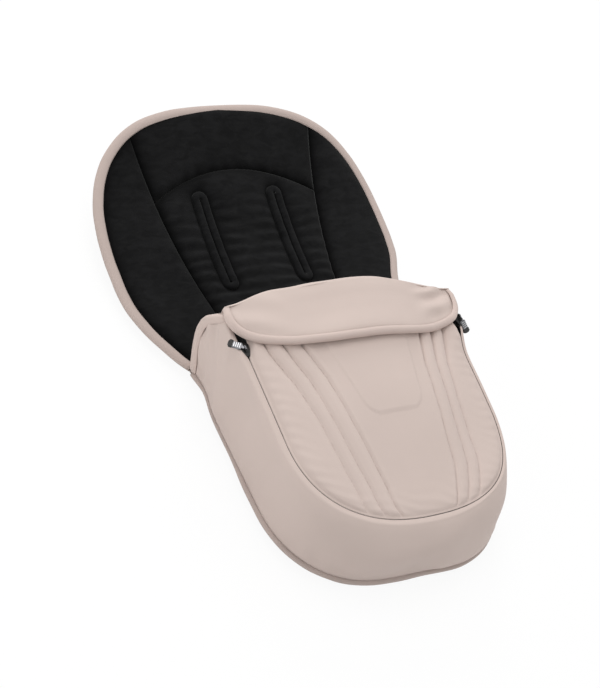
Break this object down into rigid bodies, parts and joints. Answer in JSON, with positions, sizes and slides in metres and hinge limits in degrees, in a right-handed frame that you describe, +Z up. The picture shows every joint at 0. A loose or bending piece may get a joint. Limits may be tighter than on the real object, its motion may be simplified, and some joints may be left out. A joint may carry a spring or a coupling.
{
  "type": "stroller footmuff",
  "caption": "Padded pram liner with a zipped foot bag, quilted apron, folding collar, strap slots and pull-tab sliders; the back and the apron fold.",
  "frame": {"origin": "centre of the bounding box in plan, at the underside of the pad", "axes": "+Z up off the seat, +Y along the pad from the foot end to the head end, +X to the right seen from the foot end"},
  "size_m": [0.5174, 0.8178, 0.1823],
  "materials": {
    "blush_cloth": "woven outer cloth, dusty pink, matte",
    "blush_binding": "folded woven binding tape, dusty pink",
    "black_plush": "short black plush with a soft sheen",
    "white_wadding": "polyester wadding, hidden inside",
    "dark_lining": "dark fleece lining",
    "zip_nylon": "nylon coil on woven tape",
    "slider_black": "black enamelled zip slider",
    "pull_silver": "brushed silver pull tab"
  },
  "bodies": {
    "seat": {"seat_shell": "blush_cloth", "seat_wadding": "white_wadding", "seat_liner": "black_plush", "crotch_slot_binding": "black_plush", "seat_binding_left": "blush_binding", "seat_binding_right": "blush_binding", "base_piping": "blush_binding", "wall_outer": "blush_cloth", "wall_wadding": "white_wadding", "wall_lining": "dark_lining", "mouth_binding_left": "blush_binding", "mouth_binding_right": "blush_binding", "wall_zip_chain": "zip_nylon", "zip_stop_left": "slider_black", "zip_stop_right": "slider_black"},
    "back": {"back_shell": "blush_cloth", "back_wadding": "white_wadding", "centre_liner": "black_plush", "side_liner_left": "black_plush", "side_liner_right": "black_plush", "head_liner": "black_plush", "head_binding": "blush_binding", "harness_slot_binding_left": "black_plush", "harness_slot_binding_right": "black_plush"},
    "apron": {"apron_outer": "blush_cloth", "apron_wadding": "white_wadding", "apron_lining": "dark_lining", "apron_zip_chain": "zip_nylon"},
    "collar": {"collar_outer": "blush_cloth", "collar_wadding": "white_wadding", "collar_lining": "dark_lining", "collar_binding": "blush_binding"},
    "slider_left": {"slider_left": "slider_black"},
    "slider_right": {"slider_right": "slider_black"},
    "pull_left": {"pull_left": "pull_silver"},
    "pull_right": {"pull_right": "pull_silver"}
  },
  "joints": [
    {"name": "backrest_fold", "type": "hinge", "parent": "seat", "child": "back", "pos_m": [0, 0.04959, 0.025], "axis": [1, 0, 0], "range_deg": [0, 60]},
    {"name": "apron_fold", "type": "hinge", "parent": "seat", "child": "apron", "pos_m": [0, -0.35541, 0.1145], "axis": [1, 0, 0], "range_deg": [0, 150]},
    {"name": "collar_fold", "type": "hinge", "parent": "apron", "child": "collar", "pos_m": [0, 0.00809, 0.17446], "axis": [-1, 0, 0], "range_deg": [0, 170]},
    {"name": "slider_left_slide", "type": "slide", "parent": "seat", "child": "slider_left", "axis": [0.0193, -0.9937, -0.1108], "range_m": [0, 0.125]},
    {"name": "slider_right_slide", "type": "slide", "parent": "seat", "child": "slider_right", "axis": [-0.0193, -0.9937, -0.1108], "range_m": [0, 0.125]},
    {"name": "pull_left_hinge", "type": "hinge", "parent": "slider_left", "child": "pull_left", "pos_m": [-0.18844, -0.07006, 0.14746], "axis": [-0.0193, 0.9937, 0.1108], "range_deg": [0, 100]},
    {"name": "pull_right_hinge", "type": "hinge", "parent": "slider_right", "child": "pull_right", "pos_m": [0.18844, -0.07006, 0.14746], "axis": [-0.0193, -0.9937, -0.1108], "range_deg": [0, 100]}
  ]
}
